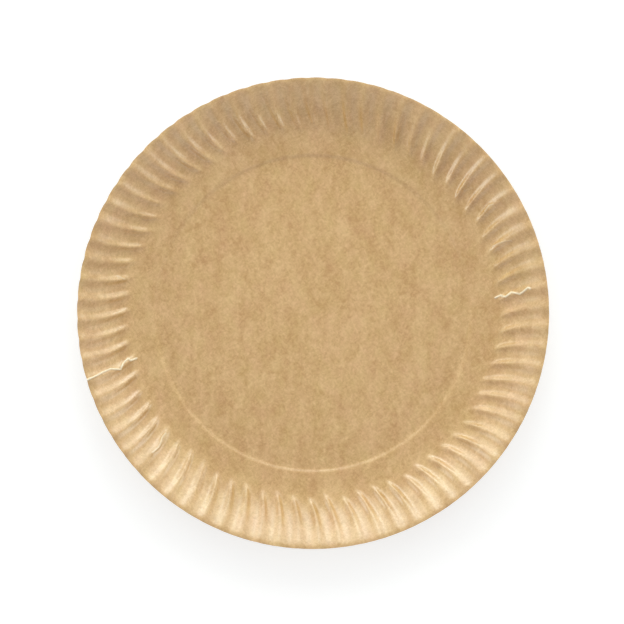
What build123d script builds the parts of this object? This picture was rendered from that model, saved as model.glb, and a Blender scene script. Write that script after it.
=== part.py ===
"""A round paper plate pressed from one disc of kraft paper, with a fluted rim."""

from build123d import *
import os
from math import cos, pi, radians, sin

plate_diameter = 230.0
paper = 0.4

# The flat well ends at a small pressed step, and a gently rising band goes on from it
ring_radius = 76.6
ring_run = 1.5
ring_rise = 1.1
band_run = 11.1
band_angle = 7.5

# The heel curves up into the straight wall, and the lip rolls back towards the level
heel_radius = 26.0
wall_angle = 36.0
lip_radius = 9.5
lip_angle = 5.0

# The flutes are rounded ridges with broader valleys between them. They start at the foot of the
# heel and deepen outwards, as a flat disc has paper to spare there. They also lean: a flute's foot
# is this many degrees round the plate from its outer end
flute_count = 72
flute_depth = 0.9
flute_sweep = 2.9
ridge_share = 0.45

flute_pitch = 360 / flute_count


def sine_step(steep, flat):
    """How much the sine changes between two slopes, for the reach of an arc between them."""
    return sin(radians(steep)) - sin(radians(flat))


# The underside of the paper in section, with X as radius and Y as height: the plain middle first,
# and then the fluted wall
heel_start = ring_radius + ring_run + band_run
wall_start = heel_start + heel_radius * sine_step(wall_angle, band_angle)
lip_start = plate_diameter / 2 - lip_radius * sine_step(wall_angle, lip_angle)
wall_length = (lip_start - wall_start) / cos(radians(wall_angle))

with BuildLine() as middle_line:
    well = Line((0, 0), (ring_radius, 0))
    ring = Line(well @ 1, (ring_radius + ring_run, ring_rise))
    band = PolarLine(ring @ 1, band_run / cos(radians(band_angle)), band_angle)

with BuildLine() as wall_line:
    heel = JernArc(band @ 1, band % 1, heel_radius, wall_angle - band_angle)
    wall = PolarLine(heel @ 1, wall_length, wall_angle)
    lip = JernArc(wall @ 1, wall % 1, lip_radius, lip_angle - wall_angle)

with BuildPart() as middle:
    with BuildSketch(Plane.XZ):
        with BuildLine():
            add(middle_line.line)
            offset(amount=paper, kind=Kind.INTERSECTION, side=Side.LEFT)
        make_face()
    revolve(axis=Axis.Z)


# Each station up the wall is a point of the underside, its heading, and the flutes' depth there
stations = [
    (heel @ 0, heel % 0, 0),
    (heel @ 0.5, heel % 0.5, 0.4 * flute_depth),
    (heel @ 1, heel % 1, 0.65 * flute_depth),
    (wall @ 0.55, wall % 0.55, 0.85 * flute_depth),
    (lip @ 0, lip % 0, flute_depth),
    (lip @ 1, lip % 1, flute_depth),
]


def wave(place, heading, depth, level):
    """One pitch of a station's wavy line, from the middle of one flank to the next like it.

    The level is the height above the underside, and each flank is as steep as a sine wave's.
    """
    below_lip = max(lip_start - place.X, 0) / (lip_start - heel_start)
    foot = -flute_sweep * below_lip**2

    def on_wave(share, rise):
        above = level + rise * depth
        radius = place.X - above * heading.Y
        angle = radians(foot + share * flute_pitch)
        return Vector(radius * cos(angle), radius * sin(angle), place.Y + above * heading.X)

    def along_wave(share):
        angle = radians(foot + share * flute_pitch)
        steep = pi * depth / (place.X * radians(flute_pitch))
        outward = -steep * heading.Y
        x = outward * cos(angle) - sin(angle)
        y = outward * sin(angle) + cos(angle)
        return Vector(x, y, steep * heading.X)

    with BuildLine() as line:
        if depth == 0:
            ThreePointArc(on_wave(0, 0), on_wave(0.5, 0), on_wave(1, 0))
        else:
            Spline(
                on_wave(0, 0),
                on_wave(ridge_share / 2, ridge_share),
                on_wave((1 + ridge_share) / 2, ridge_share - 1),
                on_wave(1, 0),
                tangents=[along_wave(0), along_wave(1)],
            )
    return line.wire()


# One flute's paper is its two faces and the strip of cut edge between them
lower_waves = [wave(*station, 0) for station in stations]
upper_waves = [wave(*station, paper) for station in stations]
flute = (
    Shell.make_loft(lower_waves, ruled=True).faces()
    + Shell.make_loft(upper_waves, ruled=True).faces()
    + Shell.make_loft([lower_waves[-1], upper_waves[-1]], ruled=True).faces()
)
rim = [face.moved(place) for place in PolarLocations(0, flute_count) for face in flute]

# The middle's highest face is its outer end, which is left out where the rim goes on from it,
# and all the rest is sewn into one closed sheet of paper
open_middle = middle.faces().sort_by(Axis.Z)[:-1]

with BuildPart() as plate:
    add(Solid(Shell(open_middle + rim)))

os.makedirs("parts", exist_ok=True)
plate.part.label = "plate"
export_step(plate.part, "parts/plate.step")
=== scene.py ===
"""A round kraft paper plate with a fluted, rolled-over rim, seen from straight above."""

import random
from math import atan2, cos, hypot, pi, radians, sin, tan

import bmesh
import bpy
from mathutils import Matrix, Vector


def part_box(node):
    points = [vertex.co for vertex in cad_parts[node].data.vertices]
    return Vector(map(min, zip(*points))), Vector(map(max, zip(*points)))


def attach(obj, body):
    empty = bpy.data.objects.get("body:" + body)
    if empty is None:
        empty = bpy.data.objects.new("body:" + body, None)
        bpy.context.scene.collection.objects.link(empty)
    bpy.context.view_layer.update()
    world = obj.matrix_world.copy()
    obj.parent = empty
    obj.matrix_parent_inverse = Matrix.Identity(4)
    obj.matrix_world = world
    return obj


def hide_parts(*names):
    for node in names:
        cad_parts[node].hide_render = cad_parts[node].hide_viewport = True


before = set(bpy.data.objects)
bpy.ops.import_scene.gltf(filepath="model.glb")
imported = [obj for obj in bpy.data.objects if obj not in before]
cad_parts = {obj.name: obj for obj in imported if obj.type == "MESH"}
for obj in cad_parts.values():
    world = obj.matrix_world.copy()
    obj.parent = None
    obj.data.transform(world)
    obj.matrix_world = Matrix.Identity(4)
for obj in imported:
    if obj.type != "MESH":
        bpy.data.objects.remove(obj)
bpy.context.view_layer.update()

# The plate is one disc of kraft paper, pressed hot between two dies: a flat well, a small pressed
# step round it, a gently rising band, and a wall whose spare paper is gathered into 72 leaning
# flutes, with its lip rolled back towards the level.
rim_margin = 0.00002
rim_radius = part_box("plate")[1].x - rim_margin
paper = 0.0004

# The paper's slope in degrees at these radii, and it turns evenly from each one to the next
slopes = [
    (0.0000, 0),
    (0.0758, 0),
    (0.0770, 25),
    (0.0776, 25),
    (0.0788, 4.5),
    (0.0845, 4.5),
    (0.0885, 10.5),
    (0.0935, 20),
    (0.0990, 29.5),
    (0.1050, 32.5),
    (0.1100, 33),
    (0.1131, 26.5),
    (0.1143, 10),
    (rim_radius, -10),
]

# The mesh's rows: how many there are up to each radius
row_spans = [
    (0.0745, 1),
    (0.0760, 1),
    (0.0788, 7),
    (0.0868, 3),
    (0.1110, 16),
    (rim_radius, 8),
]

# The mesh's columns stand closer together on the ridges than in the valleys
flutes = 72
columns_in_flute = 15
column_crowding = 0.5

# The flutes start sharp at their foot and are shallower and rounder at the lip
flute_pitch = 2 * pi / flutes
crest_angle = radians(1.45)
flute_foot = 0.0883
flute_full = 0.0955
lip_start = 0.1108
flute_depth = 0.00145
lip_flute_depth = 0.00085
flute_sweep = radians(3.2)
foot_sharpness = 5
lip_sharpness = 2.4

chance = random.Random(72)
crests = [
    {
        "depth": 1 + chance.uniform(-0.16, 0.14),
        "turn": radians(chance.uniform(-0.22, 0.22)),
        "foot": chance.uniform(-0.0016, 0.0016),
        "sharpness": 1 + chance.uniform(-0.25, 0.35),
    }
    for crest in range(flutes)
]


def ease(share):
    """Goes smoothly from 0 to 1 as the share does."""
    share = min(max(share, 0), 1)
    return share * share * (3 - 2 * share)


def slope_at(radius):
    for (inner, before), (outer, after) in zip(slopes, slopes[1:]):
        if radius <= outer:
            return radians(before + (after - before) * (radius - inner) / (outer - inner))
    return radians(slopes[-1][1])


def sweep_at(radius):
    """How far the flutes have turned clockwise by this radius, against their outer ends."""
    below_lip = max(lip_start - max(radius, flute_foot), 0) / (lip_start - flute_foot)
    return -flute_sweep * below_lip**2


def up_wall(radius):
    """Goes from 0 where the flutes are full to 1 at the lip."""
    return ease((radius - flute_full) / (lip_start - flute_full))


def flute_height(radius, angle):
    """The ridges are rounded and the valleys between them broader, and no two are quite alike."""
    full_height = flute_depth + (lip_flute_depth - flute_depth) * up_wall(radius)
    sharpness = foot_sharpness + (lip_sharpness - foot_sharpness) * up_wall(radius)
    pitches = (angle - crest_angle) / flute_pitch
    height = 0
    for number in (int(pitches // 1), int(pitches // 1) + 1):
        crest = crests[number % flutes]
        off_crest = pitches - number - crest["turn"] / flute_pitch
        if abs(off_crest) < 0.5:
            grown = ease((radius - flute_foot - crest["foot"]) / (flute_full - flute_foot))
            ridge = cos(pi * off_crest) ** (sharpness * crest["sharpness"])
            height += crest["depth"] * grown * ridge
    return height * full_height


row_radii = [0]
for outer, count in row_spans:
    inner = row_radii[-1]
    row_radii += [inner + (outer - inner) * (step + 1) / count for step in range(count)]

mesh = bmesh.new()
height = paper
section = [mesh.verts.new((0, 0, height))]
for inner, outer in zip(row_radii, row_radii[1:]):
    height += (outer - inner) * tan(slope_at((inner + outer) / 2))
    section.append(mesh.verts.new((outer, 0, height)))
section_edges = [mesh.edges.new(pair) for pair in zip(section, section[1:])]
bmesh.ops.spin(
    mesh,
    geom=section + section_edges,
    axis=(0, 0, 1),
    cent=(0, 0, 0),
    angle=2 * pi,
    steps=flutes * columns_in_flute,
    use_merge=True,
)
bmesh.ops.remove_doubles(mesh, verts=mesh.verts, dist=1e-6)
bmesh.ops.recalc_face_normals(mesh, faces=mesh.faces)
if sum(face.normal.z for face in mesh.faces) < 0:
    bmesh.ops.reverse_faces(mesh, faces=mesh.faces)

# Pressed paper springs back a little unevenly, which leaves the rim very slightly oval, and its
# edge dips in at every ridge, the deepest at the upper left
fluted_from = 0.0843
oval = 0.0001
oval_angle = radians(28)
notch_from = 0.108
notch_reach = 0.007
notch_depth = 0.00022
deepest_notch = 0.00030
deepest_notch_angle = radians(140)
notch_sharpness = 4
for vert in mesh.verts:
    radius = hypot(vert.co.x, vert.co.y)
    if radius < fluted_from:
        continue
    angle = atan2(vert.co.y, vert.co.x)
    angle -= column_crowding / flutes * sin((angle - crest_angle) * flutes)
    slope = slope_at(radius)
    out_of_wall = flute_height(radius, angle)
    notch = notch_depth + deepest_notch * max(cos(angle - deepest_notch_angle), 0)
    notch *= ease((radius - notch_from) / notch_reach)
    notch *= cos((angle - crest_angle) * flutes / 2) ** notch_sharpness
    new_radius = radius - out_of_wall * sin(slope) - notch
    new_radius -= oval * (1 - cos(2 * (angle - oval_angle)))
    new_angle = angle + sweep_at(radius)
    vert.co.x = new_radius * cos(new_angle)
    vert.co.y = new_radius * sin(new_angle)
    vert.co.z += out_of_wall * cos(slope)

# Where the dies have crushed the spare paper there are sharp little zigzag creases, seen here as
# x and y in metres, with how high each stands and how pale it is painted: partly its broken white
# fibres and partly a painted highlight along the fold. The wall is also painted a little paler
# towards the lip, a painted sheen
creases = [
    (0.00045, 1.0, [
        (0.0894, 0.0076), (0.0919, 0.0087), (0.0942, 0.0080), (0.0971, 0.0103),
        (0.1011, 0.0093), (0.1049, 0.0125), (0.1059, 0.0119),
    ]),
    (0.00050, 1.0, [
        (-0.1097, -0.0324), (-0.1057, -0.0305), (-0.1026, -0.0287), (-0.0989, -0.0272),
        (-0.0942, -0.0275), (-0.0931, -0.0247), (-0.0906, -0.0222), (-0.0892, -0.0231),
        (-0.0866, -0.0222),
    ]),
    (0.00035, 0.5, [
        (-0.0723, -0.0588), (-0.0739, -0.0609), (-0.0747, -0.0642), (-0.0756, -0.0658),
        (-0.0783, -0.0680),
    ]),
    (0.00025, 0.3, [(0.0880, 0.0330), (0.0914, 0.0344), (0.0938, 0.0352), (0.0965, 0.0355)]),
    (0.00025, 0.3, [(0.0841, 0.0500), (0.0860, 0.0529), (0.0880, 0.0532)]),
    (0.00020, 0.1, [(0.0744, 0.0602), (0.0778, 0.0612)]),
    (0.00025, 0.3, [(-0.0956, 0.0181), (-0.0940, 0.0176), (-0.0924, 0.0166)]),
    (0.00010, 0.25, [(-0.0975, -0.0003), (-0.0948, 0.0008), (-0.0920, 0.0021)]),
]
crease_half_width = 0.0007
crease_margin = 0.0016
crease_reach = 0.03
crease_cuts = 3
# How much paler the wall is painted towards the lip, a painted sheen
wall_painted_sheen = 0.035


def off_crease(spot, points):
    """How far a spot is, seen from above, from a crease's zigzag line."""
    nearest = 1
    for start, end in zip(points, points[1:]):
        start, along = Vector(start), Vector(end) - Vector(start)
        share = min(max((spot.xy - start).dot(along) / along.length_squared, 0), 1)
        nearest = min(nearest, (spot.xy - start - along * share).length)
    return nearest


# Painted paleness: broken fibre with a painted highlight along the creases, and a painted sheen up
# the wall
fibre_and_painted_sheen = mesh.verts.layers.float.new("fibre_and_painted_sheen")
for vert in mesh.verts:
    vert[fibre_and_painted_sheen] = wall_painted_sheen * up_wall(hypot(vert.co.x, vert.co.y))
for crease_height, paleness_and_highlight, points in creases:
    middle = Vector(points[len(points) // 2])
    near = []
    for face in mesh.faces:
        spot = face.calc_center_median()
        if (spot.xy - middle).length < crease_reach and off_crease(spot, points) < crease_margin:
            near.append(face)
    edges = list(dict.fromkeys(edge for face in near for edge in face.edges))
    bmesh.ops.subdivide_edges(mesh, edges=edges, cuts=crease_cuts, use_grid_fill=True)
    mesh.normal_update()
    raised = []
    for vert in mesh.verts:
        if (vert.co.xy - middle).length < crease_reach:
            nearness = 1 - off_crease(vert.co, points) / crease_half_width
            if nearness > 0:
                raised.append((vert, nearness))
    # Each crease is raised and painted pale: its broken white fibres and a painted highlight along
    # the fold
    for vert, nearness in raised:
        vert[fibre_and_painted_sheen] = max(vert[fibre_and_painted_sheen], nearness * paleness_and_highlight)
        vert.co += vert.normal * crease_height * nearness

bmesh.ops.solidify(mesh, geom=mesh.faces, thickness=paper)
plate_mesh = bpy.data.meshes.new("pressed_plate")
mesh.to_mesh(plate_mesh)
mesh.free()
plate_mesh.shade_smooth()
plate_mesh.set_sharp_from_angle(angle=radians(50))
plate = bpy.data.objects.new("pressed_plate", plate_mesh)
bpy.context.scene.collection.objects.link(plate)

# Kraft paper is brown pulp that isn't bleached, between a yellower and a more orange brown, and
# hot dies leave a sheen on it. Where its fibres break, their ends are nearly white, and the same
# cream also paints highlights along the creases and a sheen up the wall
yellow_paper = ((0.495, 0.281, 0.073, 1), (0.702, 0.463, 0.194, 1))
orange_paper = ((0.491, 0.249, 0.077, 1), (0.698, 0.419, 0.194, 1))
fibre_and_sheen_cream = (0.95, 0.84, 0.62, 1)

kraft = bpy.data.materials.new("kraft_paper")
kraft.use_nodes = True
nodes = kraft.node_tree.nodes
links = kraft.node_tree.links
shader = nodes["Principled BSDF"]
coordinates = nodes.new("ShaderNodeTexCoord")


def pattern(scale, detail, length=1, turn=0, distortion=0.0):
    """A noise pattern with so many lumps a metre, each so many times longer one way, and turned."""
    mapping = nodes.new("ShaderNodeMapping")
    mapping.vector_type = "TEXTURE"
    mapping.inputs["Scale"].default_value = (1, length, 1)
    mapping.inputs["Rotation"].default_value = (0, 0, radians(turn))
    lumps = nodes.new("ShaderNodeTexNoise")
    lumps.inputs["Scale"].default_value = scale
    lumps.inputs["Detail"].default_value = detail
    lumps.inputs["Distortion"].default_value = distortion
    links.new(coordinates.outputs["Object"], mapping.inputs["Vector"])
    links.new(mapping.outputs["Vector"], lumps.inputs["Vector"])
    return lumps.outputs["Fac"]


def mixed(patterns):
    """One tone from 0 to 1 round the middle, out of patterns and their strengths."""
    total = 0.5 - sum(strength for lumps, strength in patterns) / 2
    for lumps, strength in patterns:
        share = nodes.new("ShaderNodeMath")
        share.operation = "MULTIPLY_ADD"
        share.inputs[1].default_value = strength
        links.new(lumps, share.inputs[0])
        if isinstance(total, float):
            share.inputs[2].default_value = total
        else:
            links.new(total, share.inputs[2])
        total = share.outputs["Value"]
    return total


def blend(tone, dark, pale):
    """A colour between two, as the tone goes from 0 to 1."""
    mix = nodes.new("ShaderNodeMix")
    mix.data_type = "RGBA"
    links.new(tone, mix.inputs["Factor"])
    for name, end in (("A", dark), ("B", pale)):
        if isinstance(end, tuple):
            mix.inputs[name].default_value = end
        else:
            links.new(end, mix.inputs[name])
    return mix.outputs["Result"]


# Kraft pulp lies in cloudy clumps of darker and paler fibre, a little longer along the sheet's
# run than across it, with single fibres and specks over them
tone = mixed([
    (pattern(60, detail=1, length=3.0, turn=4), 0.6),
    (pattern(160, detail=3, length=2.2, turn=-6, distortion=0.4), 1.25),
    (pattern(420, detail=3, length=1.3, turn=9, distortion=1.0), 0.95),
    (pattern(1000, detail=3, length=2.4, turn=40, distortion=1.2), 1.3),
    (pattern(1000, detail=3, length=2.4, turn=-52, distortion=1.2), 1.3),
])
patches = mixed([
    (pattern(70, detail=2, length=1.7, turn=12), 1.2),
    (pattern(190, detail=3, length=1.4), 1.4),
])
# The cream paints broken fibre, painted highlights along the creases and a painted sheen up the
# wall
fibre_and_sheen_node = nodes.new("ShaderNodeAttribute")
fibre_and_sheen_node.attribute_name = "fibre_and_painted_sheen"
colour = blend(patches, blend(tone, *yellow_paper), blend(tone, *orange_paper))
colour = blend(fibre_and_sheen_node.outputs["Fac"], colour, fibre_and_sheen_cream)
links.new(colour, shader.inputs["Base Color"])
shader.inputs["Roughness"].default_value = 0.36
shader.inputs["IOR"].default_value = 1.85

grain = nodes.new("ShaderNodeBump")
grain.inputs["Strength"].default_value = 0.25
grain.inputs["Distance"].default_value = 0.0001
links.new(pattern(1400, detail=3), grain.inputs["Height"])
links.new(grain.outputs["Normal"], shader.inputs["Normal"])
plate_mesh.materials.append(kraft)

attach(plate, "root")
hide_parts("plate")

# The floor is a wide, matt white sheet that the plate lies on. It is a little below the plate's
# foot, takes the plate's soft shadow, and is plain white to the camera everywhere else.
floor_half_width = 6
floor_gap = 0.0001
floor_grey = (0.5, 0.5, 0.5, 1)
floor_lift = 0.64


def shown_strength(nodes, links, as_light, as_background):
    """A strength for light on the plate, and another where the background itself is seen."""
    rays = nodes.new("ShaderNodeLightPath")
    shown = rays.outputs["Is Camera Ray"]
    for kind in ("Is Glossy Ray", "Is Transmission Ray"):
        either = nodes.new("ShaderNodeMath")
        either.operation = "MAXIMUM"
        links.new(shown, either.inputs[0])
        links.new(rays.outputs[kind], either.inputs[1])
        shown = either.outputs["Value"]
    strength = nodes.new("ShaderNodeMapRange")
    strength.inputs["To Min"].default_value = as_light
    strength.inputs["To Max"].default_value = as_background
    links.new(shown, strength.inputs["Value"])
    return strength.outputs["Result"]


mesh = bmesh.new()
bmesh.ops.create_grid(mesh, x_segments=1, y_segments=1, size=floor_half_width)
bmesh.ops.translate(mesh, verts=mesh.verts, vec=(0, 0, -floor_gap))
floor_mesh = bpy.data.meshes.new("floor")
mesh.to_mesh(floor_mesh)
mesh.free()
floor = bpy.data.objects.new("floor", floor_mesh)
bpy.context.scene.collection.objects.link(floor)

white = bpy.data.materials.new("floor_white")
white.use_nodes = True
nodes = white.node_tree.nodes
links = white.node_tree.links
shader = nodes["Principled BSDF"]
shader.inputs["Base Color"].default_value = floor_grey
shader.inputs["Roughness"].default_value = 0.9
shader.inputs["Specular IOR Level"].default_value = 0.0
shader.inputs["Emission Color"].default_value = (1, 1, 1, 1)
lift = shown_strength(nodes, links, 0.0, floor_lift)
links.new(lift, shader.inputs["Emission Strength"])
floor_mesh.materials.append(white)

# The light is a room's with a broad window at the top of the picture, which four lamps stand in
# for, one of them low. Weaker lamps on the other three sides are light that the walls throw back.
room_light = 0.54
lamp_distance = 1.5
lamp_colour = (0.90, 1.0, 0.95)

world = bpy.data.worlds.new("white_room")
world.use_nodes = True
bpy.context.scene.world = world
nodes = world.node_tree.nodes
links = world.node_tree.links
room = nodes["Background"]
room.inputs["Color"].default_value = (1, 1, 1, 1)
links.new(shown_strength(nodes, links, room_light, 1.0), room.inputs["Strength"])


def lamp(name, side, height, size, watts):
    """A round softbox aimed at the plate, its side and height in degrees as seen from the plate."""
    light = bpy.data.lights.new(name, "AREA")
    light.shape = "DISK"
    light.size = size
    light.energy = watts
    light.color = lamp_colour
    towards = Vector((
        cos(radians(height)) * cos(radians(side)),
        cos(radians(height)) * sin(radians(side)),
        sin(radians(height)),
    ))
    holder = bpy.data.objects.new(name, light)
    holder.location = towards * lamp_distance
    holder.rotation_euler = towards.to_track_quat("Z", "Y").to_euler()
    bpy.context.scene.collection.objects.link(holder)


lamp("low_top_lamp", side=90, height=12, size=0.9, watts=6.6)
lamp("high_top_lamp", side=90, height=30, size=0.8, watts=5.4)
lamp("upper_left_lamp", side=127, height=25, size=0.9, watts=4.7)
lamp("upper_right_lamp", side=53, height=25, size=0.9, watts=4.3)
lamp("left_lamp", side=180, height=10, size=0.6, watts=6)
lamp("right_lamp", side=0, height=10, size=0.6, watts=4.8)
lamp("bottom_lamp", side=270, height=8, size=1.0, watts=2.5)

# The camera looks straight down on the plate, whose far side is at the top of the picture. The
# rim's centre lies this far from the middle of the picture, and the frame is this wide at the rim.
frame_width = 0.3038
lens = 250
sensor = 36
plate_offset = (0.00052, -0.00058)
rim_height = 0.0157
camera = bpy.data.cameras.new("camera")
camera.lens = lens
camera.sensor_width = sensor
holder = bpy.data.objects.new("camera", camera)
camera_height = rim_height + frame_width * lens / sensor
holder.location = (-plate_offset[0], -plate_offset[1], camera_height)
bpy.context.scene.collection.objects.link(holder)
bpy.context.scene.camera = holder
bpy.context.scene.view_settings.view_transform = "Standard"
